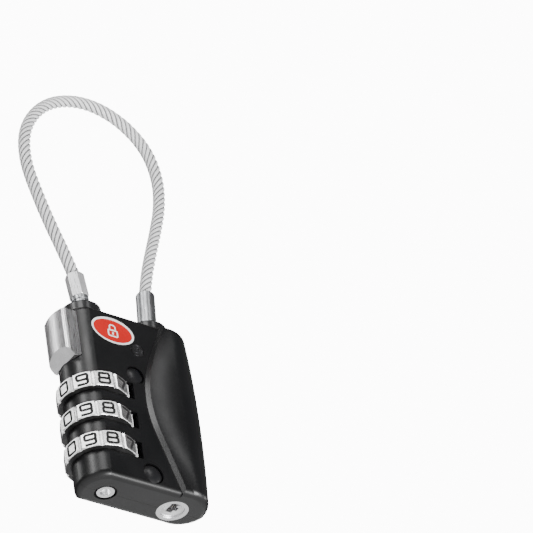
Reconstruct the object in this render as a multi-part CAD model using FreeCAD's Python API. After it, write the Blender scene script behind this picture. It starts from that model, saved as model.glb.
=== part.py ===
import FreeCAD, Part
import math
import os

V = FreeCAD.Vector

# ---------------------------------------------------------------- driving dimensions (mm)
BODY_H = 40.15            # base face to the flat top
FRONT_Y = -5.44           # flat front face round the dials
PANEL_Y = -6.3            # front of the raised panel on the right
BACK_Y = 4.5              # flat back face
PARTING_Y = 0.0           # plane where the two housing shells meet
SHELL_GAP = 0.04          # hairline left between the shells
BARREL_R = 5.8            # half-round left end, about the dial axis
END_X = 8.6               # where the rounded right end starts
END_MAX_X = 16.4          # furthest right, a little above mid height
BASE_FILLET, TOP_FILLET = 1.4, 1.0
WALL = 1.25               # shell thickness

DIAL_X, DIAL_Y = -7.3, 0.0
DIAL_PITCH = 7.0
DIAL_MID_Z = 14.8
DIAL_PAD = 6.88           # apothem of the flat number pads
DIAL_PAD_HALF = math.radians(14.2)
DIAL_GROOVE_R = 6.62
DIAL_GROOVE_HALF = math.radians(1.6)
DIAL_T = 3.45
DIAL_BORE = 4.12
DIAL_TURN = math.radians(-14.0)   # how far the shown number sits round from the front
DIGITS = 10
WINDOW_H = 3.8
WINDOW_R = 7.35
WINDOW_RIGHT_X = -1.4

RING_R, RING_BORE = 4.05, 2.28
KEY_TAB = 0.45            # drive tab on each clutch ring
SPINDLE_R = 2.2
SPINDLE_TOP = 23.7
SPINDLE_ROOM_TOP = 27.3

BUTTON_FACE_Y = -4.1
BUTTON_BACK_Y = 3.1
BUTTON_Z0, BUTTON_Z1 = 28.0, 38.9
BUTTON_TRAVEL = 3.0
BUTTON_FIT = 0.1          # gap between the button and the barrel

COLLAR_R, COLLAR_TOP = 4.0, 43.0
FREE_COLLAR_X = -7.35
FIXED_COLLAR_X = 8.0

PLUG_FOOT = V(-6.7, 0, 43.0)      # plug axis where it leaves the collar
PLUG_DIR = V(-0.1132, 0, 0.99357)
PLUG_NECK_R = 1.6
PLUG_HEX_AF = 3.4
PLUG_TIP_DEPTH = 11.5
GROOVE_DEPTH = 9.0        # catch groove, measured down from the collar top
HEX_START, HEX_LEN = 3.4, 5.4
HEX_TURN = math.radians(12.0)
FIXED_FOOT = V(8.38, 0, 43.0)
FIXED_DIR = V(0.0767, 0, 0.99705)
FERRULE_R = 1.9
FERRULE_LEN = 9.5

KEY_X = 7.8
KEY_SHELL_R, KEY_PLUG_R = 3.13, 2.36
KEY_LEN = 17.0
CAM_Z = 29.6              # underside of the cam disc
CAM_THROW = 1.5
SLIDE_TRAVEL = 1.5

CABLE_D = 2.6
ROPE_D = 2.4
CABLE_ROUTE = [
    (-7.68, 0.0, 51.7), (-9.3, 0.0, 56.9), (-11.7, 0.0, 63.2), (-14.0, 0.0, 70.6),
    (-15.9, 0.0, 78.4), (-15.2, 0.0, 86.6), (-11.1, 0.0, 93.8), (-5.0, 0.0, 98.5),
    (2.6, 0.0, 100.2), (9.9, 0.0, 98.0), (15.2, 0.0, 92.6), (17.0, 0.0, 85.2),
    (16.3, 0.0, 77.6), (14.2, 0.0, 70.3), (11.9, 0.0, 63.3), (10.2, 0.0, 57.6), (9.1, 0.0, 52.4),
]
MIDDLE_X = 0.575          # taken off x at export, so that the origin is under the middle

# ---------------------------------------------------------------- small helpers


def cylinder(radius, height, base, axis=V(0, 0, 1)):
    return Part.makeCylinder(radius, height, base, axis)


def block(x0, x1, y0, y1, z0, z1):
    return Part.makeBox(x1 - x0, y1 - y0, z1 - z0, V(x0, y0, z0))


def tube(outer, inner, height, base, axis=V(0, 0, 1)):
    return cylinder(outer, height, base, axis).cut(cylinder(inner, height, base, axis))


def prism(points, z0, z1):
    ring = [V(x, y, z0) for x, y in points]
    face = Part.Face(Part.makePolygon(ring + ring[:1]))
    return face.extrude(V(0, 0, z1 - z0))


def arc(a, mid, b):
    return Part.Arc(a, mid, b).toShape()


def line(a, b):
    return Part.LineSegment(a, b).toShape()


def coil(radius, wire, length, turns, base, axis):
    helix = Part.makeHelix(length / turns, length, radius)
    start = Part.Wire(Part.Circle(V(radius, 0, 0), V(0, 1, 0), wire).toShape())
    spring = Part.Wire(helix).makePipeShell([start], True, True)
    spring.Placement = FreeCAD.Placement(base, FreeCAD.Rotation(V(0, 0, 1), axis))
    return spring


def export(shape, node):
    shape.translate(V(-MIDDLE_X, 0, 0))
    shape.exportStep("parts/" + node + ".step")
    print(node, "valid", shape.isValid(), "solids", len(shape.Solids), "volume", round(shape.Volume, 2))


# ---------------------------------------------------------------- housing


def right_edge(z):
    """The right side bows out, most of all a little above mid height."""
    rise = z - 23.5
    return END_MAX_X - (0.0026 if rise < 0 else 0.0038) * rise * rise


def plan_wire(z, inset=0.0):
    """Outline of the housing seen from above, at height z, moved in by inset."""
    r = BARREL_R - inset
    front, panel, back = FRONT_Y + inset, PANEL_Y + inset, BACK_Y - inset
    right = right_edge(z) - inset
    reach = right - END_X
    diag = math.sqrt(0.5)
    a = V(DIAL_X - math.sqrt(r * r - front * front), front, z)
    b = V(-6.0, front, z)
    c = V(0.6, panel, z)
    d = V(END_X, panel, z)
    d_e = V(END_X + reach * diag, panel * diag, z)
    e = V(right, 0, z)
    e_f = V(END_X + reach * diag, back * diag, z)
    f = V(END_X, back, z)
    g = V(DIAL_X - math.sqrt(r * r - back * back), back, z)
    left = V(DIAL_X - r, 0, z)
    return Part.Wire([line(a, b), line(b, c), line(c, d), arc(d, d_e, e), arc(e, e_f, f),
                      line(f, g), arc(g, left, a)])


def lofted(z0, z1, inset, steps=5):
    heights = [z0 + (z1 - z0) * i / (steps - 1) for i in range(steps)]
    return Part.makeLoft([plan_wire(z, inset) for z in heights], True, False)


def rim_edges(solid, height):
    picked = []
    for edge in solid.Edges:
        box = edge.BoundBox
        if box.ZLength < 1e-4 and abs(box.ZMin - height) < 1e-4:
            picked.append(edge)
    return picked


def body_block():
    base = lofted(0, BODY_H, 0.0)
    base = base.makeFillet(BASE_FILLET, rim_edges(base, 0))
    return base.makeFillet(TOP_FILLET, rim_edges(base, BODY_H))


def panel_edge(y, shift):
    """Region left of the raised panel's sweeping edge, at depth y."""
    points = [(7.9, 42.5), (4.8, 33.7), (2.35, 26.9), (1.55, 20.5), (2.15, 15.2), (3.9, 9.6), (5.95, 3.2), (7.6, -1.8)]
    spline = Part.BSplineCurve()
    spline.interpolate([V(x + shift, y, z) for x, z in points])
    top = V(points[0][0] + shift, y, points[0][1])
    bottom = V(points[-1][0] + shift, y, points[-1][1])
    left_top, left_bottom = V(-6.0, y, top.z), V(-6.0, y, bottom.z)
    return Part.Wire([spline.toShape(), line(bottom, left_bottom), line(left_bottom, left_top), line(left_top, top)])


def front_relief():
    """What is taken off the front so that the face round the dials sits lower than the panel."""
    slab = block(-20.0, 20.0, FRONT_Y, 0, 0, BODY_H)
    for height, radius in ((0, BASE_FILLET), (BODY_H, TOP_FILLET)):
        rim = [e for e in rim_edges(slab, height) if abs(e.BoundBox.YMax - FRONT_Y) < 1e-4]
        slab = slab.makeFillet(radius, rim)
    straight = Part.Face(panel_edge(FRONT_Y, -0.3)).extrude(V(0, 1.6, 0))
    bevel = Part.makeLoft([panel_edge(FRONT_Y, -0.3), panel_edge(FRONT_Y - 1.2, 0.5)], True, False)
    return straight.fuse(bevel).cut(slab)


def dial_heights():
    return [DIAL_MID_Z + DIAL_PITCH * k for k in (1, 0, -1)]


def windows():
    """Room for each dial, and the slots that it shows through."""
    cuts = []
    for z in dial_heights():
        z0 = z - WINDOW_H / 2
        cuts.append(cylinder(WINDOW_R, WINDOW_H, V(DIAL_X, DIAL_Y, z0)))
        cuts.append(block(DIAL_X, WINDOW_RIGHT_X, -8, -3.2, z0, z0 + WINDOW_H))
        cuts.append(block(DIAL_X, WINDOW_RIGHT_X, 3.2, 8, z0, z0 + WINDOW_H))
    return cuts


def chambers():
    """Hollows inside the shells."""
    floor = WALL + 0.6
    room = Part.Face(plan_wire(floor, WALL)).extrude(V(0, 0, BODY_H - WALL - floor))
    room = room.cut(block(-20, -0.05, -8, 8, 0, 28.3))
    guard = cylinder(4.2, 17.6, V(KEY_X, 0, 0))
    posts = [cylinder(1.75, 14, V(x, -7, z), V(0, 1, 0)) for x, z in rivet_places()]
    for keep in [guard, oval_prism(5.6, 3.6, FRONT_Y, 1.9)] + posts:
        room = room.cut(keep)
    return room


def rivet_places():
    return [(-0.5, 26.0), (0.4, 3.05)]


def rivet_wells():
    return [2.0, 2.25]


def oval_prism(half_w, half_h, y0, depth, centre=(-4.3, 35.55)):
    """Rounded-end lozenge extruded into the front face."""
    curve = Part.Ellipse(V(0, 0, 0), half_w, half_h).toShape()
    face = Part.Face(Part.Wire(curve))
    face.rotate(V(0, 0, 0), V(1, 0, 0), 90)
    face.translate(V(centre[0], y0, centre[1]))
    return face.extrude(V(0, depth, 0))


def housing():
    body = body_block().cut(front_relief())
    cuts = windows() + [chambers()]
    cuts.append(block(-15, -11, -1.4, 1.4, 31.2, 36.7))
    cuts.append(cylinder(SPINDLE_R + 0.1, SPINDLE_ROOM_TOP - 1.4, V(DIAL_X, DIAL_Y, 1.4)))
    cuts.append(cylinder(1.82, 3, V(DIAL_X, DIAL_Y, -1)))
    cuts.append(cylinder(2.2, 1.6, V(DIAL_X, DIAL_Y, -1)))
    cuts.append(cylinder(KEY_SHELL_R + 0.04, KEY_LEN + 2, V(KEY_X, 0, -1)))
    cuts.append(cylinder(2.75, 6, V(FREE_COLLAR_X, 0, BODY_H - 2)))
    cuts.append(cylinder(2.75, 6, V(FIXED_COLLAR_X, 0, BODY_H - 2)))
    cuts.append(oval_prism(4.95, 3.15, FRONT_Y - 0.5, 1.05))
    cuts.append(cylinder(1.5, 1.0, V(0.8, FRONT_Y + 0.45, 32.4), V(0, -1, 0)))
    for (x, z), well in zip(rivet_places(), rivet_wells()):
        cuts.append(cylinder(well, 3.0, V(x, FRONT_Y + 0.75, z), V(0, -1, 0)))
        cuts.append(cylinder(0.95, 12.0, V(x, -6.0, z), V(0, 1, 0)))
        cuts.append(cylinder(1.5, 2.0, V(x, BACK_Y - 0.7, z), V(0, 1, 0)))
    for cut in cuts:
        body = body.cut(cut)
    front = body.common(block(-30, 30, -20, PARTING_Y, -5, 60))
    rear = body.common(block(-30, 30, PARTING_Y + SHELL_GAP, 20, -5, 60))
    return front, rear


def biggest(shape):
    return max(shape.Solids, key=lambda s: s.Volume)


# ---------------------------------------------------------------- dials and their mechanism


def dial(z):
    outline = []
    corner = DIAL_PAD / math.cos(DIAL_PAD_HALF)
    for k in range(DIGITS):
        middle = DIAL_TURN + k * 2 * math.pi / DIGITS
        edge = math.pi / DIGITS - DIAL_GROOVE_HALF
        for angle, radius in ((-edge, DIAL_GROOVE_R), (-DIAL_PAD_HALF, corner),
                              (DIAL_PAD_HALF, corner), (edge, DIAL_GROOVE_R)):
            a = middle + angle
            outline.append((radius * math.sin(a), -radius * math.cos(a)))
    body = prism(outline, -DIAL_T / 2, DIAL_T / 2)
    top = corner - 0.28
    cone = Part.makeCone(top + DIAL_T, top, DIAL_T, V(0, 0, -DIAL_T / 2))
    body = body.common(cone).common(cone.mirror(V(0, 0, 0), V(0, 0, 1)))
    body = body.cut(cylinder(DIAL_BORE, 2 * DIAL_T, V(0, 0, -DIAL_T)))
    slot = block(-0.55, 0.55, -DIAL_BORE - KEY_TAB - 0.1, 0, -DIAL_T, DIAL_T)
    body = body.cut(slot)
    body.translate(V(DIAL_X, DIAL_Y, z))
    return body


def clutch_ring(z):
    thick = DIAL_T - 0.1
    body = tube(RING_R, RING_BORE, thick, V(0, 0, -thick / 2))
    body = body.fuse(block(-0.45, 0.45, -RING_R - KEY_TAB, -RING_R + 0.4, -thick / 2, thick / 2))
    body = body.cut(block(-0.5, 0.5, 2.0, 3.1, -thick, thick))
    body.translate(V(DIAL_X, DIAL_Y, z))
    return body


def spindle():
    body = cylinder(SPINDLE_R, SPINDLE_TOP - 3.1, V(0, 0, 3.1))
    body = body.fuse(cylinder(1.1, 1.8, V(0, 0, SPINDLE_TOP)))
    for z in dial_heights():
        body = body.cut(tube(3.0, 1.95, 0.5, V(0, 0, z - 0.25)))
    body.translate(V(DIAL_X, DIAL_Y, 0))
    return body


def reset_pin():
    body = cylinder(1.72, 3.0, V(0, 0, 0.08))
    body = body.cut(cylinder(1.05, 1.5, V(0, 0, 0)))
    body.translate(V(DIAL_X, DIAL_Y, 0))
    return body


def detent_spring():
    """Leaf that clicks the dials: a strip beside them with a nib for each."""
    strip = block(0.55, 0.8, -1.0, 2.6, 5.2, 23.9)
    for z in dial_heights():
        strip = strip.fuse(cylinder(0.32, 2.6, V(0.45, 0.9, z - 1.3)))
    return strip


# ---------------------------------------------------------------- button and catch


def release_button():
    """Shoe on the left of the barrel, with a slanted underside."""
    z = BUTTON_Z0 - 1
    ridge = V(-14.5, BUTTON_FACE_Y, z)
    inner_front, inner_back = V(-10.0, BUTTON_FACE_Y, z), V(-10.0, BUTTON_BACK_Y, z)
    side_end, back_start = V(-14.75, 2.0, z), V(-13.6, BUTTON_BACK_Y, z)
    wire = Part.Wire([line(inner_front, ridge), arc(ridge, V(-15.25, -0.8, z), side_end),
                      arc(side_end, V(-14.4, 2.78, z), back_start), line(back_start, inner_back),
                      line(inner_back, inner_front)])
    body = Part.Face(wire).extrude(V(0, 0, 14))
    soft = [e for e in body.Edges if e.BoundBox.ZLength > 5 and abs(e.BoundBox.XMax - ridge.x) < 0.01]
    body = body.makeFillet(0.9, soft)
    side = Part.Wire([line(V(-17, -9, BUTTON_Z1), V(-17, -9, 31.9)), line(V(-17, -9, 31.9), V(-13.1, -9, BUTTON_Z0)),
                      line(V(-13.1, -9, BUTTON_Z0), V(-12.6, -9, BUTTON_Z0)),
                      arc(V(-12.6, -9, BUTTON_Z0), V(-11.8, -9, BUTTON_Z0 + 0.35), V(-11.5, -9, BUTTON_Z0 + 1.1)),
                      line(V(-11.5, -9, BUTTON_Z0 + 1.1), V(-11.5, -9, BUTTON_Z1)),
                      line(V(-11.5, -9, BUTTON_Z1), V(-17, -9, BUTTON_Z1))])
    body = body.common(Part.Face(side).extrude(V(0, 18, 0)))
    body = body.cut(cylinder(BARREL_R + BUTTON_FIT, 20, V(DIAL_X, DIAL_Y, 24)))
    return body.cut(block(-13.9, -12, -1.0, 1.0, 34.4, 36.6))


def button_slider():
    """Stem, guide plate and the nose that parts the legs of the catch."""
    body = block(-13.8, -11.0, -0.95, 0.95, 34.45, 36.3)
    body = body.fuse(block(-11.25, -10.3, -1.8, 1.8, 31.9, 37.4))
    body = body.fuse(block(-10.4, -8.05, -1.3, 1.3, 36.0, 36.7))
    nose = [(-1.3, 36.0), (1.3, 36.0), (0.5, 34.7), (-0.5, 34.7)]
    ring = [V(-9.0, y, z) for y, z in nose]
    face = Part.Face(Part.makePolygon(ring + ring[:1]))
    return body.fuse(face.extrude(V(0.95, 0, 0)))


def button_spring():
    return coil(0.6, 0.16, 3.2, 5, V(-10.75, 0, 28.55), V(0, 0, 1))


def on_plug(depth):
    """Point on the plug axis, depth below the collar top."""
    return PLUG_FOOT - PLUG_DIR * depth


def hairpin_catch():
    """Spring wire whose two legs sit in the plug's groove."""
    centre = on_plug(GROOVE_DEPTH)
    side, wire, z = 1.22, 0.26, centre.z
    left, right = -8.2, -2.5
    path = Part.Wire([line(V(right, side, z), V(left, side, z)),
                      arc(V(left, side, z), V(left - side, 0, z), V(left, -side, z)),
                      line(V(left, -side, z), V(right, -side, z))])
    ring = Part.Wire(Part.Circle(V(right, side, z), V(1, 0, 0), wire).toShape())
    return path.makePipeShell([ring], True, True)


# ---------------------------------------------------------------- cable ends


def collar(x, foot, axis, bore):
    body = cylinder(COLLAR_R, COLLAR_TOP - BODY_H, V(x, 0, BODY_H))
    rim = [e for e in body.Edges if abs(e.BoundBox.ZMin - COLLAR_TOP) < 1e-4]
    body = body.makeFillet(0.4, rim)
    body = body.fuse(cylinder(2.7, 1.9, V(x, 0, BODY_H - 1.9)))
    return body.cut(cylinder(bore, 9, foot - axis * 6, axis))


def lean(shape, foot, axis):
    shape.Placement = FreeCAD.Placement(foot, FreeCAD.Rotation(V(0, 0, 1), axis))
    return shape


def free_ferrule():
    """Six-sided sleeve crimped on the cable's free end."""
    corner = PLUG_HEX_AF / 2 / math.cos(math.pi / 6)
    ring = [(corner * math.cos(math.pi / 3 * k + HEX_TURN), corner * math.sin(math.pi / 3 * k + HEX_TURN))
            for k in range(6)]
    body = prism(ring, 0, HEX_LEN)
    slope = 1.2
    upper = Part.makeCone(corner - 0.3 + HEX_LEN * slope, corner - 0.3, HEX_LEN)
    lower = Part.makeCone(corner - 0.12, corner - 0.12 + HEX_LEN * slope, HEX_LEN)
    body = body.common(upper).common(lower)
    body = body.cut(cylinder(CABLE_D / 2 + 0.02, 3.0, V(0, 0, HEX_LEN - 2.6)))
    return lean(body, PLUG_FOOT + PLUG_DIR * HEX_START, PLUG_DIR)


def locking_pin():
    """Round pin below the ferrule, with the groove that the catch holds."""
    body = cylinder(PLUG_NECK_R, HEX_START + 6.1, V(0, 0, -6.2))
    body = body.fuse(cylinder(1.4, 5.0, V(0, 0, -10.4)))
    body = body.fuse(Part.makeCone(0.7, 1.4, PLUG_TIP_DEPTH - 10.4, V(0, 0, -PLUG_TIP_DEPTH)))
    body = body.fuse(cylinder(1.75, 0.7, V(0, 0, HEX_START - 0.8)))
    body = body.cut(tube(2.0, 0.9, 0.9, V(0, 0, -GROOVE_DEPTH - 0.45)))
    return lean(body, PLUG_FOOT, PLUG_DIR)


def ejector_spring():
    foot = on_plug(PLUG_TIP_DEPTH + 3.0)
    return coil(0.85, 0.18, 2.9, 4, foot, PLUG_DIR)


def fixed_ferrule():
    """Round sleeve on the cable's other end."""
    body = cylinder(FERRULE_R, FERRULE_LEN - 0.5, V(0, 0, 0.5))
    rims = [e for e in body.Edges if e.BoundBox.ZLength < 1e-4]
    body = body.makeChamfer(0.3, rims)
    body = body.cut(cylinder(CABLE_D / 2 + 0.02, 3.0, V(0, 0, FERRULE_LEN - 2.6)))
    return lean(body, FIXED_FOOT, FIXED_DIR)


def swivel_stem():
    body = cylinder(1.2, 7.45, V(0, 0, -7.0))
    body = body.cut(tube(2.0, 0.85, 0.5, V(0, 0, -6.0)))
    return lean(body, FIXED_FOOT, FIXED_DIR)


def retaining_ring():
    body = tube(2.1, 0.87, 0.4, V(0, 0, -5.95)).cut(block(-0.6, 0.6, 0, 3, -7, -5))
    return lean(body, FIXED_FOOT, FIXED_DIR)


def cable_path():
    """Straight runs joined by tangent arcs, through the route's points."""
    points = [V(*p) for p in CABLE_ROUTE]
    edges, start = [], points[0]
    for before, at, after in zip(points, points[1:], points[2:]):
        u, w = (before - at).normalize(), (after - at).normalize()
        turn = math.pi - u.getAngle(w)
        run = min((at - before).Length, (after - at).Length)
        radius = 0.45 * run / math.tan(turn / 2)
        print("cable bend radius", round(radius, 1), "run", round(run, 1), "turn", round(math.degrees(turn), 1))
        a, b = at + u * (0.45 * run), at + w * (0.45 * run)
        middle = at + (u + w).normalize() * (radius / math.cos(turn / 2) - radius)
        edges += [line(start, a), arc(a, middle, b)]
        start = b
    edges.append(line(start, points[-1]))
    return Part.Wire(edges)


def along_cable(diameter):
    path = cable_path()
    first = V(*CABLE_ROUTE[1]) - V(*CABLE_ROUTE[0])
    ring = Part.Wire(Part.Circle(V(*CABLE_ROUTE[0]), first, diameter / 2).toShape())
    body = path.makePipeShell([ring], True, False)
    print("cable length", round(path.Length, 2), "volume", round(body.Volume, 2),
          "section x length", round(math.pi * diameter ** 2 / 4 * path.Length, 2))
    return body


# ---------------------------------------------------------------- key cylinder


def at_key(shape):
    shape.translate(V(KEY_X, 0, 0))
    return shape


def key_shell():
    body = tube(KEY_SHELL_R, KEY_PLUG_R + 0.05, KEY_LEN - 0.3, V(0, 0, 0.05))
    body = body.fuse(tube(KEY_SHELL_R, 1.2, 0.3, V(0, 0, KEY_LEN - 0.25)))
    return at_key(body.cut(block(-0.7, 0.7, 0, 2.95, 3.0, KEY_LEN - 2)))


def wafer_heights():
    return [4.0 + 2.3 * k for k in range(5)]


def key_plug():
    body = cylinder(KEY_PLUG_R, KEY_LEN - 1.0, V(0, 0, 0.45))
    body = body.cut(Part.makeCone(2.0, 1.2, 0.35, V(0, 0, 0.44)))
    body = body.cut(block(-0.7, 0.7, -1.6, 1.3, 0, KEY_LEN - 3.5))
    body = body.cut(block(-0.7, 1.3, -0.5, 0.5, 0, KEY_LEN - 3.5))
    for z in wafer_heights():
        body = body.cut(block(-1.25, 1.25, -2.0, 2.0, z, z + 0.75))
    return at_key(body)


def key_wafers():
    plates = []
    for z in wafer_heights():
        plate = block(-1.2, 1.2, -1.95, 1.95, z + 0.08, z + 0.67)
        plate = plate.common(cylinder(2.26, 1, V(0, 0, z)))
        plate = plate.cut(block(-0.7, 0.7, -1.2, 1.2, z, z + 1))
        plates.append(at_key(plate))
    return Part.makeCompound(plates)


def tail_cam():
    base = KEY_LEN - 0.55
    body = cylinder(1.1, CAM_Z - base, V(0, 0, base))
    body = body.fuse(cylinder(2.1, 1.2, V(0, 0, CAM_Z)))
    return at_key(body.fuse(cylinder(0.5, 2.2, V(CAM_THROW, 0, CAM_Z + 1.2))))


def override_slide():
    """Yoke round the cam's pin, and the bar that parts the catch from the other side."""
    yoke = block(4.9, 11.2, -2.8, 2.8, 31.4, 32.6)
    yoke = yoke.cut(block(8.4, 10.3, -2.3, 2.3, 31, 33))
    body = yoke.fuse(block(4.9, 5.8, -1.0, 1.0, 31.4, 34.6)).fuse(block(-0.8, 5.8, -1.0, 1.0, 33.5, 34.6))
    tip = [(-0.8, -1.0), (-2.1, -0.45), (-2.1, 0.45), (-0.8, 1.0)]
    return body.fuse(prism(tip, 33.5, 34.6))


# ---------------------------------------------------------------- trim and fasteners


def badge_bezel():
    return oval_prism(4.9, 3.1, FRONT_Y + 0.1, 0.43).cut(oval_prism(4.45, 2.65, FRONT_Y, 0.8))


def badge_plate():
    return oval_prism(4.43, 2.63, FRONT_Y + 0.18, 0.35)


def medallion():
    return cylinder(1.44, 0.4, V(0.8, FRONT_Y + 0.43, 32.4), V(0, -1, 0))


def rivet(x, z, radius):
    """Domed head in its counterbore, shank, and a flattened tail at the back."""
    dome_r = 4.0
    seat = FRONT_Y + 0.42
    head = cylinder(radius, 0.3, V(x, seat + 0.3, z), V(0, -1, 0))
    dome = Part.makeSphere(dome_r, V(x, seat + math.sqrt(dome_r ** 2 - radius ** 2), z))
    dome = dome.common(cylinder(radius, 1.0, V(x, seat, z), V(0, -1, 0)))
    shank = cylinder(0.9, BACK_Y - FRONT_Y - 1.3, V(x, FRONT_Y + 0.7, z), V(0, 1, 0))
    tail = cylinder(1.4, 0.5, V(x, BACK_Y - 0.65, z), V(0, 1, 0))
    return head.fuse(dome).fuse(shank).fuse(tail)


def build():
    os.makedirs("parts", exist_ok=True)
    front, rear = housing()
    export(biggest(front), "front_housing")
    export(biggest(rear), "rear_housing")
    for number, z in enumerate(dial_heights(), 1):
        export(dial(z), "dial_%d" % number)
        export(clutch_ring(z), "clutch_ring_%d" % number)
    export(spindle(), "dial_spindle")
    export(reset_pin(), "reset_pin")
    export(coil(1.6, 0.16, 2.9, 5, V(DIAL_X, DIAL_Y, SPINDLE_TOP + 0.2), V(0, 0, 1)), "reset_spring")
    export(detent_spring(), "detent_spring")
    export(release_button(), "release_button")
    export(button_slider(), "button_slider")
    export(button_spring(), "button_spring")
    export(hairpin_catch(), "hairpin_catch")
    export(collar(FREE_COLLAR_X, PLUG_FOOT, PLUG_DIR, PLUG_NECK_R + 0.1), "free_end_collar")
    export(collar(FIXED_COLLAR_X, FIXED_FOOT, FIXED_DIR, 1.3), "fixed_end_collar")
    export(free_ferrule(), "free_ferrule")
    export(locking_pin(), "locking_pin")
    export(ejector_spring(), "ejector_spring")
    export(fixed_ferrule(), "fixed_ferrule")
    export(swivel_stem(), "swivel_stem")
    export(retaining_ring(), "retaining_ring")
    export(along_cable(ROPE_D), "wire_rope")
    export(along_cable(CABLE_D).cut(along_cable(ROPE_D)), "cable_jacket")
    export(key_shell(), "key_cylinder_shell")
    export(key_plug(), "key_plug")
    export(key_wafers(), "key_wafers")
    export(tail_cam(), "tail_cam")
    export(override_slide(), "override_slide")
    export(badge_bezel(), "badge_bezel")
    export(badge_plate(), "badge_plate")
    export(medallion(), "medallion")
    for name, (x, z), well in zip(("rivet_upper", "rivet_lower"), rivet_places(), rivet_wells()):
        export(rivet(x, z, well - 0.15), name)


build()
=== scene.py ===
import bpy
import bmesh
import math
from mathutils import Matrix, Vector


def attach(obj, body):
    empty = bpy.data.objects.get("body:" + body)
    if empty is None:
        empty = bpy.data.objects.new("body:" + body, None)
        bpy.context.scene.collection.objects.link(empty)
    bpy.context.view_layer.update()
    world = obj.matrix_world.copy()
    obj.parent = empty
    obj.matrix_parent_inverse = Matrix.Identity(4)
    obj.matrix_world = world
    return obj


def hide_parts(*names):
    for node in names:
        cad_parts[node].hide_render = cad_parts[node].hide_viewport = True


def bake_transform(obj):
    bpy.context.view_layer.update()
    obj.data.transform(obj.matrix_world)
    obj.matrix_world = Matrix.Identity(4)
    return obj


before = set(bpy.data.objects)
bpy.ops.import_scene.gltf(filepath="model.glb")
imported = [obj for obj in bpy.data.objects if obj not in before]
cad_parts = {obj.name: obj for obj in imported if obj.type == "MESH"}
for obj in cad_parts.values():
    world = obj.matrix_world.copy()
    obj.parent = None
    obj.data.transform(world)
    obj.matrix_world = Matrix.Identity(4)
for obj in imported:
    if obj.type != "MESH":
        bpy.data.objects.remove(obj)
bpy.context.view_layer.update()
MM = 0.001
MIDDLE_X = 0.575  # taken off a drawing's x, so that the row frame's origin is under the lock's middle


def at(x, y, z):
    """A point given in the drawing's mm, as metres in the row frame."""
    return Vector(((x - MIDDLE_X) * MM, y * MM, z * MM))


# ---------------------------------------------------------------- materials


EVEN = (1, 1, 1)  # noise the same size along every axis
NOISE_LOW, NOISE_HIGH = 0.3, 0.7  # the part of a noise's output that is used
COAT_ROUGHNESS = 0.08
PEEL_DEPTH, GRAIN_DEPTH = 0.00001, 0.00002


def new_material(name, color, metallic=0.0, roughness=0.4, coat=0.0):
    mat = bpy.data.materials.new(name)
    mat.use_nodes = True
    bsdf = mat.node_tree.nodes["Principled BSDF"]
    bsdf.inputs["Base Color"].default_value = (*color, 1)
    bsdf.inputs["Metallic"].default_value = metallic
    bsdf.inputs["Roughness"].default_value = roughness
    bsdf.inputs["Coat Weight"].default_value = coat
    bsdf.inputs["Coat Roughness"].default_value = COAT_ROUGHNESS
    return mat


def mapped(mat, scale):
    nodes, links = mat.node_tree.nodes, mat.node_tree.links
    coords = nodes.new("ShaderNodeTexCoord")
    mapping = nodes.new("ShaderNodeMapping")
    mapping.inputs["Scale"].default_value = scale
    links.new(coords.outputs["Object"], mapping.inputs["Vector"])
    return mapping.outputs["Vector"]


def noise(mat, scale, size=1.0, detail=4.0):
    node = mat.node_tree.nodes.new("ShaderNodeTexNoise")
    node.inputs["Scale"].default_value = size
    node.inputs["Detail"].default_value = detail
    mat.node_tree.links.new(mapped(mat, scale), node.inputs["Vector"])
    return node.outputs["Fac"]


def ranged(mat, value, low, high):
    node = mat.node_tree.nodes.new("ShaderNodeMapRange")
    node.inputs["From Min"].default_value = NOISE_LOW
    node.inputs["From Max"].default_value = NOISE_HIGH
    node.inputs["To Min"].default_value = low
    node.inputs["To Max"].default_value = high
    mat.node_tree.links.new(value, node.inputs["Value"])
    return node.outputs["Result"]


def tinted(mat, value, dark, light, start=NOISE_LOW, end=NOISE_HIGH):
    """Runs from one colour to the other as value goes from start to end."""
    ramp = mat.node_tree.nodes.new("ShaderNodeValToRGB")
    first, last = ramp.color_ramp.elements
    first.position, first.color = start, (*dark, 1)
    last.position, last.color = end, (*light, 1)
    mat.node_tree.links.new(value, ramp.inputs["Fac"])
    return ramp.outputs["Color"]


def to_bsdf(mat, socket, value):
    mat.node_tree.links.new(value, mat.node_tree.nodes["Principled BSDF"].inputs[socket])


def bump(mat, value, strength, distance):
    node = mat.node_tree.nodes.new("ShaderNodeBump")
    node.inputs["Strength"].default_value = strength
    node.inputs["Distance"].default_value = distance
    mat.node_tree.links.new(value, node.inputs["Height"])
    to_bsdf(mat, "Normal", node.outputs["Normal"])


def painted(name, dark, light, roughness, coat, peel=0.05):
    """Sprayed paint: slight colour drift, orange peel and uneven gloss."""
    mat = new_material(name, light, roughness=roughness, coat=coat)
    drift = noise(mat, EVEN, 90, 2)
    to_bsdf(mat, "Base Color", tinted(mat, drift, dark, light))
    to_bsdf(mat, "Roughness", ranged(mat, noise(mat, EVEN, 160, 2), roughness - 0.03, roughness + 0.04))
    bump(mat, noise(mat, EVEN, 800, 1), peel, PEEL_DEPTH)
    return mat


def math_node(mat, kind, a, b):
    """One step of arithmetic on sockets or plain numbers."""
    node = mat.node_tree.nodes.new("ShaderNodeMath")
    node.operation = kind
    for slot, value in enumerate((a, b)):
        if isinstance(value, (int, float)):
            node.inputs[slot].default_value = value
        else:
            mat.node_tree.links.new(value, node.inputs[slot])
    return node.outputs[0]


def clamped(mat, value, low, high):
    return math_node(mat, "MINIMUM", math_node(mat, "MAXIMUM", value, low), high)


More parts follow.
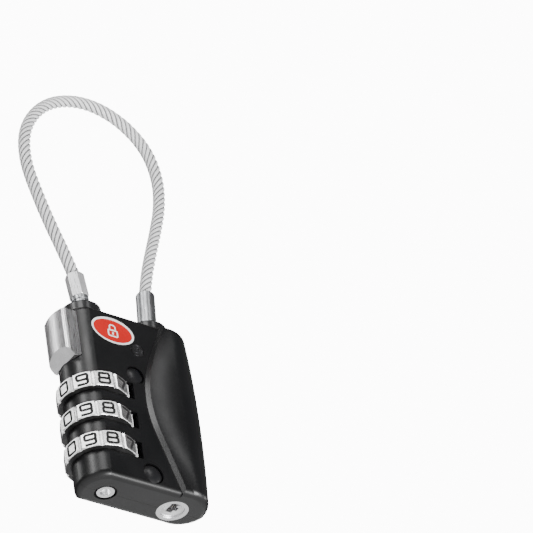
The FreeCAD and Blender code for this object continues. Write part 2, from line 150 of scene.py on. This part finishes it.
# The raised panel's sweeping edge runs along x = EDGE_X + EDGE_BOW * (z - EDGE_Z) ** 2, in metres.
EDGE_X, EDGE_Z, EDGE_BOW = 0.00098, 0.0205, 18.5
DOME_SLOPE, DOME_HALF = 0.38, 0.0078
FRONT_GAIN, FRONT_CUT = -2.5, 1.25  # full on faces within 26 degrees of the front, gone past 60


def domed(mat):
    """Leans the paint's normal as if the panel rose from its sweeping edge and levelled off DOME_HALF further on."""
    nodes, links = mat.node_tree.nodes, mat.node_tree.links
    coords = nodes.new("ShaderNodeTexCoord")
    axes = nodes.new("ShaderNodeSeparateXYZ")
    links.new(coords.outputs["Object"], axes.inputs[0])
    up = math_node(mat, "SUBTRACT", axes.outputs["Z"], EDGE_Z)
    bow = math_node(mat, "MULTIPLY", math_node(mat, "MULTIPLY", up, up), EDGE_BOW)
    along = math_node(mat, "SUBTRACT", math_node(mat, "SUBTRACT", axes.outputs["X"], EDGE_X), bow)
    along = clamped(mat, along, 0.0, DOME_HALF)
    fall = math_node(mat, "MULTIPLY", math_node(mat, "MULTIPLY", along, along), 0.5 / DOME_HALF)
    height = math_node(mat, "MULTIPLY", math_node(mat, "SUBTRACT", along, fall), DOME_SLOPE)
    crown = nodes.new("ShaderNodeBump")
    facing = nodes.new("ShaderNodeSeparateXYZ")
    links.new(nodes.new("ShaderNodeNewGeometry").outputs["Normal"], facing.inputs[0])
    front = math_node(mat, "SUBTRACT", math_node(mat, "MULTIPLY", facing.outputs["Y"], FRONT_GAIN), FRONT_CUT)
    links.new(clamped(mat, front, 0.0, 1.0), crown.inputs["Strength"])
    crown.inputs["Distance"].default_value = 1.0
    links.new(height, crown.inputs["Height"])
    peel = nodes["Principled BSDF"].inputs["Normal"].links[0].from_node
    links.new(crown.outputs["Normal"], peel.inputs["Normal"])
    return mat


def brushed(name, dark, light, roughness, scale=(300, 300, 9000), grain=0.12, metallic=1.0):
    """Metal with fine drawn lines across the given scale's largest axis."""
    mat = new_material(name, light, metallic=metallic, roughness=roughness)
    lines = noise(mat, scale, 1.0, 6)
    cloud = noise(mat, EVEN, 320)
    to_bsdf(mat, "Base Color", tinted(mat, cloud, dark, light))
    to_bsdf(mat, "Roughness", ranged(mat, lines, roughness - 0.08, roughness + 0.12))
    bump(mat, lines, grain, GRAIN_DEPTH)
    return mat


def rope_metal():
    """Bright strands with fine laid wires, with painted shade darkening the valleys between them."""
    mat = new_material("rope_metal", (0.95, 0.95, 0.95), metallic=0.1, roughness=0.3)
    nodes, links = mat.node_tree.nodes, mat.node_tree.links
    uv = nodes.new("ShaderNodeTexCoord")
    wave = nodes.new("ShaderNodeTexWave")
    wave.inputs["Scale"].default_value = 1.0
    wave.inputs["Distortion"].default_value = 0.6
    links.new(uv.outputs["UV"], wave.inputs["Vector"])
    crest = nodes.new("ShaderNodeAttribute")
    crest.attribute_name = "crest"
    # painted shade: the colour goes dark where a point lies low between strands and is full bright on the crests
    valley_shade = tinted(mat, crest.outputs["Fac"], (0.05, 0.05, 0.055), (1, 1, 1), 0.5, 0.88)
    mix = nodes.new("ShaderNodeMix")
    mix.data_type = "RGBA"
    mix.blend_type = "MULTIPLY"
    mix.inputs["Factor"].default_value = 0.5
    colour_a, colour_b = mix.inputs[6], mix.inputs[7]
    links.new(valley_shade, colour_a)
    links.new(tinted(mat, wave.outputs["Fac"], (0.5, 0.5, 0.52), (1, 1, 1)), colour_b)
    to_bsdf(mat, "Base Color", mix.outputs[2])
    bump(mat, wave.outputs["Fac"], 0.4, 0.00005)
    return mat


def vinyl():
    """Clear sleeve: mostly see-through, with a milky tint and a gloss of its own."""
    mat = new_material("clear_vinyl", (0.97, 0.98, 0.99), roughness=0.12, coat=0.6)
    to_bsdf(mat, "Alpha", ranged(mat, noise(mat, EVEN, 350), 0.03, 0.06))
    bump(mat, noise(mat, EVEN, 700, 2), 0.12, 0.00006)
    return mat


BLACK = painted("black_enamel", (0.002, 0.002, 0.0025), (0.004, 0.004, 0.0045), 0.34, 0.0, 0.03)
FRONT_BLACK = domed(painted("front_enamel", (0.002, 0.002, 0.0025), (0.004, 0.004, 0.0045), 0.32, 0.0, 0.03))
COLLAR = painted("black_collar", (0.005, 0.005, 0.006), (0.012, 0.012, 0.013), 0.34, 0.2)
RIVET = painted("black_rivet", (0.003, 0.003, 0.004), (0.008, 0.008, 0.009), 0.34, 0.1)
DIAL = brushed("dial_metal", (0.74, 0.74, 0.74), (0.92, 0.92, 0.92), 0.30, (600, 600, 7000), 0.05, 1.0)
# painted shade: a dark copy of the dial metal for the dials' flat flanks, which sit in shade between the dials
DIAL_FLANK_SHADE = brushed("dial_flank", (0.05, 0.05, 0.052), (0.10, 0.10, 0.10), 0.5, (900, 900, 900), 0.05)
BUTTON = brushed("button_metal", (0.60, 0.60, 0.61), (0.80, 0.80, 0.81), 0.3, (7000, 7000, 260), 0.10)
INNER = brushed("inner_metal", (0.4, 0.4, 0.41), (0.6, 0.6, 0.6), 0.4)
CHROME = brushed("key_metal", (0.84, 0.84, 0.85), (0.95, 0.95, 0.96), 0.28, (500, 500, 500), 0.05)
SPRING = brushed("spring_steel", (0.45, 0.45, 0.46), (0.6, 0.6, 0.62), 0.3)
FERRULE_L = brushed("ferrule_light", (0.80, 0.80, 0.81), (0.95, 0.95, 0.96), 0.3, (6000, 6000, 240), 0.10, 0.7)
# painted shade: a darker copy of the light ferrule metal, standing in for the shade the fixed ferrule sits in; the
# locking pin and swivel stem share it
FERRULE_SHADED = brushed("ferrule_grey", (0.30, 0.31, 0.32), (0.46, 0.47, 0.48), 0.32, (6000, 6000, 240), 0.14)
BRASS = brushed("wafer_brass", (0.5, 0.38, 0.16), (0.72, 0.56, 0.26), 0.35)
MEDAL = brushed("medallion_metal", (0.09, 0.09, 0.095), (0.16, 0.16, 0.165), 0.3, (4000, 300, 300), 0.1)
INK = painted("dial_ink", (0.002, 0.002, 0.002), (0.005, 0.005, 0.005), 0.7, 0.0)
RED = painted("badge_red", (0.40, 0.004, 0.003), (0.48, 0.006, 0.004), 0.4, 0.0, 0.03)
WHITE = painted("badge_white", (0.78, 0.78, 0.78), (0.9, 0.9, 0.9), 0.25, 0.5, 0.03)
ROPE = rope_metal()
VINYL = vinyl()

# ---------------------------------------------------------------- carried-over CAD pieces

LOOKS = {
    "front_housing": FRONT_BLACK, "rear_housing": BLACK, "free_end_collar": COLLAR, "fixed_end_collar": COLLAR,
    "rivet_upper": RIVET, "rivet_lower": RIVET, "button_slider": INNER, "clutch_ring_1": INNER,
    "clutch_ring_2": INNER, "clutch_ring_3": INNER, "dial_spindle": INNER, "override_slide": INNER,
    "tail_cam": INNER, "reset_pin": CHROME, "detent_spring": SPRING, "reset_spring": SPRING,
    "hairpin_catch": SPRING, "button_spring": SPRING, "ejector_spring": SPRING, "retaining_ring": SPRING,
    "locking_pin": FERRULE_SHADED, "swivel_stem": FERRULE_SHADED, "key_cylinder_shell": CHROME, "key_plug": CHROME,
    "key_wafers": BRASS, "badge_bezel": WHITE, "badge_plate": RED, "medallion": MEDAL,
}


def smooth(mesh, degrees=32):
    for poly in mesh.polygons:
        poly.use_smooth = True
    mesh.set_sharp_from_angle(angle=math.radians(degrees))


for node, look in LOOKS.items():
    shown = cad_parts[node]
    shown.data.materials.clear()
    shown.data.materials.append(look)
    smooth(shown.data)


WELD = 1e-6
FLAT_ANGLE, EASE_ANGLE = math.radians(1.0), math.radians(28)
FLANK = 0.9  # a dial face whose normal is this near to upright is a flank, and gets the painted shade


def remade(node, body, look, bevel, name, segments=3):
    """The CAD piece again, with its meeting edges eased by bevel mm and a finish of its own."""
    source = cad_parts[node]
    mesh = source.data.copy()
    mesh.name = name
    mesh.materials.clear()
    mesh.materials.append(look)
    bm = bmesh.new()
    bm.from_mesh(mesh)
    bmesh.ops.remove_doubles(bm, verts=bm.verts, dist=WELD)
    bmesh.ops.dissolve_limit(bm, angle_limit=FLAT_ANGLE, verts=bm.verts, edges=bm.edges)
    bm.to_mesh(mesh)
    bm.free()
    piece = bpy.data.objects.new(name, mesh)
    bpy.context.scene.collection.objects.link(piece)
    ease = piece.modifiers.new("ease", "BEVEL")
    ease.width = bevel * MM
    ease.segments = segments
    ease.limit_method = "ANGLE"
    ease.angle_limit = EASE_ANGLE
    for poly in mesh.polygons:
        poly.use_smooth = True
    piece.modifiers.new("normals", "WEIGHTED_NORMAL")
    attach(piece, body)
    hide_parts(node)
    return piece


for number in (1, 2, 3):
    ring = remade("dial_%d" % number, "dial_%d" % number, DIAL, 0.12, "dial_%d_face" % number)
    # the flat flanks take the painted-shade copy of the dial metal
    ring.data.materials.append(DIAL_FLANK_SHADE)
    for flank in ring.data.polygons:
        flank.material_index = 1 if abs(flank.normal.z) > FLANK else 0
remade("release_button", "button", BUTTON, 0.3, "button_shell", 4)
remade("free_ferrule", "plug", FERRULE_L, 0.12, "hex_ferrule")
remade("fixed_ferrule", "fixed_end", FERRULE_SHADED, 0.08, "round_ferrule")

# ---------------------------------------------------------------- digits on the dials

DIAL_X = -7.3
DIAL_Z = (21.8, 14.8, 7.8)
DIGITS = 10
PAD_OUT = 6.885
FIRST_TURN, FIRST_DIGIT = math.radians(-14.0), 8  # where the pad nearest the front stands, and what it reads
GLYPH_W, GLYPH_H, STROKE, INK_T = 1.08, 1.12, 0.54, 0.02
# Each digit is a list of strokes: corner points over a box from -1 to 1, and whether the stroke closes on itself.
GLYPHS = {
    0: [([(-1, -1), (1, -1), (1, 1), (-1, 1)], True)],
    1: [([(-0.45, 0.75), (0.05, 1), (0.05, -1)], False)],
    2: [([(-1, 1), (1, 1), (1, 0), (-1, 0), (-1, -1), (1, -1)], False)],
    3: [([(-1, 1), (1, 1), (1, -1), (-1, -1)], False), ([(-0.4, 0), (0.96, 0)], False)],
    4: [([(-0.9, 1), (-0.9, -0.15), (1, -0.15)], False), ([(0.45, 0.7), (0.45, -1)], False)],
    5: [([(1, 1), (-1, 1), (-1, 0.08), (1, 0.08), (1, -1), (-1, -1)], False)],
    6: [([(1, 1), (-1, 1), (-1, -1), (1, -1), (1, 0.05), (-0.96, 0.05)], False)],
    7: [([(-1, 1), (1, 1), (-0.1, -1)], False)],
    8: [([(-0.92, 0), (0.92, 0), (0.92, 1), (-0.92, 1)], True),
        ([(-1, -1), (1, -1), (1, 0), (-1, 0)], True)],
    9: [([(-1, -1), (1, -1), (1, 1), (-1, 1), (-1, -0.05), (0.96, -0.05)], False)],
}


CORNER_SHARE = 0.48  # the most of a side that one corner's curve may take


def rounded(points, closed, radius=0.42, steps=5):
    """A line through glyph points with its corners turned into short curves, in mm."""
    points = [Vector((x * GLYPH_W, y * GLYPH_H)) for x, y in points]
    count = len(points)
    line = []
    for i, p in enumerate(points):
        if not closed and i in (0, count - 1):
            line.append(p)
            continue
        before, after = points[i - 1], points[(i + 1) % count]
        reach = min(radius, (before - p).length * CORNER_SHARE, (after - p).length * CORNER_SHARE)
        a, b = p + (before - p).normalized() * reach, p + (after - p).normalized() * reach
        for k in range(steps + 1):
            t = k / steps
            line.append(a * (1 - t) ** 2 + p * 2 * t * (1 - t) + b * t ** 2)
    return line


def ribbon(bm, line, closed, width, place):
    """A flat stroke with a little thickness, laid where place(u, v, height) puts it."""
    count = len(line)
    rings = []
    for i, p in enumerate(line):
        before = line[i - 1] if closed or i else p
        after = line[(i + 1) % count] if closed or i < count - 1 else p
        along = (after - before).normalized()
        side = Vector((-along.y, along.x)) * width / 2
        corners = [(p - side, 0), (p - side, 1), (p + side, 1), (p + side, 0)]
        rings.append([bm.verts.new(place(q.x, q.y, h)) for q, h in corners])
    pairs = list(zip(rings, rings[1:]))
    if closed:
        pairs.append((rings[-1], rings[0]))
    for one, two in pairs:
        for k in range(4):
            bm.faces.new((one[k], two[k], two[(k + 1) % 4], one[(k + 1) % 4]))
    if not closed:
        bm.faces.new(rings[0])
        bm.faces.new(list(reversed(rings[-1])))


def finished(bm, name, look, body):
    """Turns a bmesh into a piece that rides on body, if one is given, and carries the given finish."""
    bmesh.ops.recalc_face_normals(bm, faces=bm.faces)
    mesh = bpy.data.meshes.new(name)
    bm.to_mesh(mesh)
    bm.free()
    mesh.materials.append(look)
    piece = bpy.data.objects.new(name, mesh)
    bpy.context.scene.collection.objects.link(piece)
    if body:
        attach(piece, body)
    return piece


for number, height in enumerate(DIAL_Z, 1):
    bm = bmesh.new()
    for k in range(DIGITS):
        turn = FIRST_TURN + k * math.tau / DIGITS
        out = Vector((math.sin(turn), -math.cos(turn), 0))
        right = Vector((math.cos(turn), math.sin(turn), 0))

        def on_pad(u, v, h, out=out, right=right, height=height):
            return at(DIAL_X, 0, height) + (out * (PAD_OUT + INK_T * h) + right * u + Vector((0, 0, v))) * MM

        for stroke, closed in GLYPHS[(FIRST_DIGIT - k) % DIGITS]:
            ribbon(bm, rounded(stroke, closed), closed, STROKE, on_pad)
    finished(bm, "dial_%d_digits" % number, INK, "dial_%d" % number)

# ---------------------------------------------------------------- badge sign: a plain padlock outline

BADGE_X, BADGE_Y, BADGE_Z, BADGE_T = -4.3, -5.27, 35.55, 0.03
CASE = [(-0.95, -1.15), (0.95, -1.15), (0.95, 0.12), (-0.95, 0.12)]
SHACKLE = [(-0.6, 0.2), (-0.6, 1.25), (0.6, 1.25), (0.6, 0.2)]
SLIT = [Vector((0, -0.9)), Vector((0, -0.3))]


def on_badge(u, v, h):
    return at(BADGE_X + u, BADGE_Y - BADGE_T * h, BADGE_Z + v)


bm = bmesh.new()
ribbon(bm, rounded(CASE, True, 0.25), True, 0.28, on_badge)
ribbon(bm, rounded(SHACKLE, False, 0.6), False, 0.26, on_badge)
ribbon(bm, SLIT, False, 0.34, on_badge)
finished(bm, "badge_sign", WHITE, "body")

# ---------------------------------------------------------------- medallion: two raised rings

MEDAL_X, MEDAL_Z, MEDAL_RISE = 0.8, 32.4, 0.12
FACE_Y, FACE_SINK = -5.44, 0.05
RING_SIDES = 40


def on_medal(u, v, h):
    return at(MEDAL_X + u, FACE_Y + FACE_SINK - MEDAL_RISE * h, MEDAL_Z + v)


bm = bmesh.new()
for radius, width in ((1.28, 0.2), (0.55, 0.16)):
    angles = [math.tau * k / RING_SIDES for k in range(RING_SIDES)]
    ribbon(bm, [Vector((math.cos(a), math.sin(a))) * radius for a in angles], True, width, on_medal)
finished(bm, "medallion_rings", MEDAL, "body")

# ---------------------------------------------------------------- cable

CABLE_R = 1.3
FINE_STEP, COARSE_STEP = 0.0003, 0.0007
# The centreline's control points in mm, from the free ferrule round to the fixed one.
ROUTE = [
    (-7.68, 0.0, 51.7), (-9.3, 0.0, 56.9), (-11.7, 0.0, 63.2), (-14.0, 0.0, 70.6),
    (-15.9, 0.0, 78.4), (-15.2, 0.0, 86.6), (-11.1, 0.0, 93.8), (-5.0, 0.0, 98.5),
    (2.6, 0.0, 100.2), (9.9, 0.0, 98.0), (15.2, 0.0, 92.6), (17.0, 0.0, 85.2),
    (16.3, 0.0, 77.6), (14.2, 0.0, 70.3), (11.9, 0.0, 63.3), (10.2, 0.0, 57.6), (9.1, 0.0, 52.4),
]


def route_line(step):
    """The cable's centreline as points about step metres apart, and its length."""
    data = bpy.data.curves.new("route", "CURVE")
    data.dimensions = "3D"
    data.resolution_u = 24
    spline = data.splines.new("NURBS")
    spline.points.add(len(ROUTE) - 1)
    for point, place in zip(spline.points, ROUTE):
        point.co = (*at(*place), 1)
    spline.order_u = 3
    spline.use_endpoint_u = True
    guide = bpy.data.objects.new("route", data)
    bpy.context.scene.collection.objects.link(guide)
    bpy.context.view_layer.update()
    mesh = bpy.data.meshes.new_from_object(guide)
    raw = [v.co.copy() for v in mesh.vertices]
    bpy.data.objects.remove(guide)
    bpy.data.meshes.remove(mesh)
    bpy.data.curves.remove(data)
    total = sum((b - a).length for a, b in zip(raw, raw[1:]))
    count = max(2, round(total / step))
    line, i, walked = [raw[0]], 0, 0.0
    for k in range(1, count):
        goal = total * k / count
        while walked + (raw[i + 1] - raw[i]).length < goal:
            walked += (raw[i + 1] - raw[i]).length
            i += 1
        line.append(raw[i].lerp(raw[i + 1], (goal - walked) / (raw[i + 1] - raw[i]).length))
    line.append(raw[-1])
    return line, total


def direction(line, i):
    """The way the line runs at its point i."""
    return (line[min(i + 1, len(line) - 1)] - line[max(i - 1, 0)]).normalized()


ACROSS = Vector((0, 1, 0))  # square to the plane that the cable's loop lies in
ROUND_U = 6.0  # how far u runs once round a tube


def tube(bm, line, radius, sides, uv=None, turns=0.0):
    """A round tube along points; uv u goes round it and v along it, twisted by turns."""
    rings = []
    normal = ACROSS
    for i, p in enumerate(line):
        along = direction(line, i)
        normal = (normal - along * normal.dot(along)).normalized()
        cross = along.cross(normal)
        rings.append([bm.verts.new(p + (normal * math.cos(a) + cross * math.sin(a)) * radius)
                      for a in (math.tau * k / sides for k in range(sides))])
    for i, (one, two) in enumerate(zip(rings, rings[1:])):
        for k in range(sides):
            face = bm.faces.new((one[k], one[(k + 1) % sides], two[(k + 1) % sides], two[k]))
            face.smooth = True
            if uv:
                for loop, (ku, kv) in zip(face.loops, ((k, i), (k + 1, i), (k + 1, i + 1), (k, i + 1))):
                    loop[uv].uv = (ku * ROUND_U / sides + turns * kv / len(line), kv / len(line))
    bm.faces.new(list(reversed(rings[0])))
    bm.faces.new(rings[-1])


fine, cable_length = route_line(FINE_STEP)
coarse = route_line(COARSE_STEP)[0]
STRANDS, LAY_R, STRAND_R, LAY_PITCH = 6, 0.86 * MM, 0.42 * MM, 8.3 * MM
CORE_R, CORE_SIDES, CORE_TURNS = 0.55 * MM, 8, 90
STRAND_SIDES, STRAND_TURNS, JACKET_SIDES = 10, 190, 28
strand_bm = bmesh.new()
strand_uv = strand_bm.loops.layers.uv.new("lay")
tube(strand_bm, fine, CORE_R, CORE_SIDES, strand_uv, CORE_TURNS)
for s in range(STRANDS):
    helix = []
    for i, p in enumerate(fine):
        cross = direction(fine, i).cross(ACROSS)
        a = math.tau * (s / STRANDS + i * cable_length / (len(fine) - 1) / LAY_PITCH)
        helix.append(p + (ACROSS * math.cos(a) + cross * math.sin(a)) * LAY_R)
    tube(strand_bm, helix, STRAND_R, STRAND_SIDES, strand_uv, STRAND_TURNS)
strands = finished(strand_bm, "rope_strands", ROPE, None)
# How far out each point lies from the cable's centreline: 0 at a strand's middle, 1 at its crest. The rope's
# material paints shade into the valleys from it.
crest = strands.data.attributes.new("crest", "FLOAT", "POINT")
tube_sides = [CORE_SIDES] + [STRAND_SIDES] * STRANDS
centres = [centre for sides in tube_sides for centre in fine for _ in range(sides)]
for vertex, centre, mark in zip(strands.data.vertices, centres, crest.data, strict=True):
    mark.value = max(0.0, min(1.0, ((vertex.co - centre).length - LAY_R) / STRAND_R))
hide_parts("wire_rope")
jacket_bm = bmesh.new()
tube(jacket_bm, coarse, CABLE_R * MM, JACKET_SIDES)
jacket = finished(jacket_bm, "vinyl_jacket", VINYL, None)
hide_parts("cable_jacket")
for piece in (strands, jacket):
    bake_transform(piece)

# ---------------------------------------------------------------- studio, light and camera


FLOOR_HALF, FLOOR_Z = 4.0, -0.9


def studio():
    bm = bmesh.new()
    bmesh.ops.create_grid(bm, x_segments=1, y_segments=1, size=FLOOR_HALF)
    mesh = bpy.data.meshes.new("floor")
    bm.to_mesh(mesh)
    bm.free()
    mesh.materials.append(painted("floor_white", (0.9, 0.9, 0.9), (0.95, 0.95, 0.95), 0.7, 0.0, 0.01))
    floor = bpy.data.objects.new("floor", mesh)
    floor.location = (0, 0, FLOOR_Z)
    bpy.context.scene.collection.objects.link(floor)


def light(name, place, target, width, height, power):
    """A rectangular lamp at place that faces target, in metres and watts."""
    data = bpy.data.lights.new(name, "AREA")
    data.shape = "RECTANGLE"
    data.size, data.size_y = width, height
    data.energy = power
    lamp = bpy.data.objects.new(name, data)
    lamp.location = place
    lamp.rotation_euler = (Vector(target) - Vector(place)).to_track_quat("-Z", "Y").to_euler()
    bpy.context.scene.collection.objects.link(lamp)


LAMPS = (
    ("soft_left", (-0.30, -0.46, 0.50), (0, 0, 0.03), 0.24, 0.24, 1.5),
    ("join_soft", (0.11, -0.63, 0.45), (0, 0, 0.03), 0.12, 0.44, 0.72),
    ("edge_strip", (-0.62, -0.21, 0.36), (0, 0, 0.02), 0.14, 0.60, 3.0),
    ("bead", (0.36, -0.42, -0.38), (0, 0, 0.01), 0.22, 0.05, 0.8),
    ("side_soft", (-0.45, 0.45, 0.50), (0, 0, 0.03), 0.20, 0.40, 1.0),
    ("rope_fill", (0.10, -0.60, -0.58), (0, 0, 0.08), 0.36, 0.26, 12.0),
    ("right_low", (0.75, -0.30, -0.05), (0, 0, 0.03), 0.20, 0.34, 1.6),
    ("back_low", (0.50, 0.58, -0.10), (0, 0, 0.03), 0.30, 0.20, 0.7),
    ("floor_wash", (0.0, 0.0, -0.55), (0, 0, FLOOR_Z), 8.0, 8.0, 150.0),
)
AMBIENT, SEEN_WHITE = 0.13, 12.0  # the world's strength as a light, and to a ray straight from the camera

studio()
for lamp in LAMPS:
    light(*lamp)


def white_world():
    """White where it is looked at, dim where it only lights the lock."""
    world = bpy.data.worlds.new("studio")
    world.use_nodes = True
    nodes, links = world.node_tree.nodes, world.node_tree.links
    path = nodes.new("ShaderNodeLightPath")
    strength = nodes.new("ShaderNodeMapRange")
    strength.inputs["To Min"].default_value = AMBIENT
    strength.inputs["To Max"].default_value = SEEN_WHITE
    links.new(path.outputs["Is Camera Ray"], strength.inputs["Value"])
    links.new(strength.outputs["Result"], nodes["Background"].inputs["Strength"])
    nodes["Background"].inputs["Color"].default_value = (1, 1, 1, 1)
    bpy.context.scene.world = world


white_world()

FOCAL_MM, SENSOR_MM, NEAR, FAR = 256.93, 36, 0.01, 20
CAMERA_RIGHT = Vector((0.81228, -0.56655, -0.13861))
CAMERA_DOWN = Vector((0.26411, 0.56917, -0.77865))
CAMERA_FORWARD = Vector((0.52004, 0.59587, 0.61196))
CAMERA_PLACE = at(-363.73, -464.70, -406.29)
lens = bpy.data.cameras.new("camera")
lens.lens = FOCAL_MM
lens.sensor_width = SENSOR_MM
lens.clip_start, lens.clip_end = NEAR, FAR
camera = bpy.data.objects.new("camera", lens)
turn = Matrix((CAMERA_RIGHT, -CAMERA_DOWN, -CAMERA_FORWARD)).transposed().to_4x4()
camera.matrix_world = Matrix.Translation(CAMERA_PLACE) @ turn
bpy.context.scene.collection.objects.link(camera)
bpy.context.scene.camera = camera
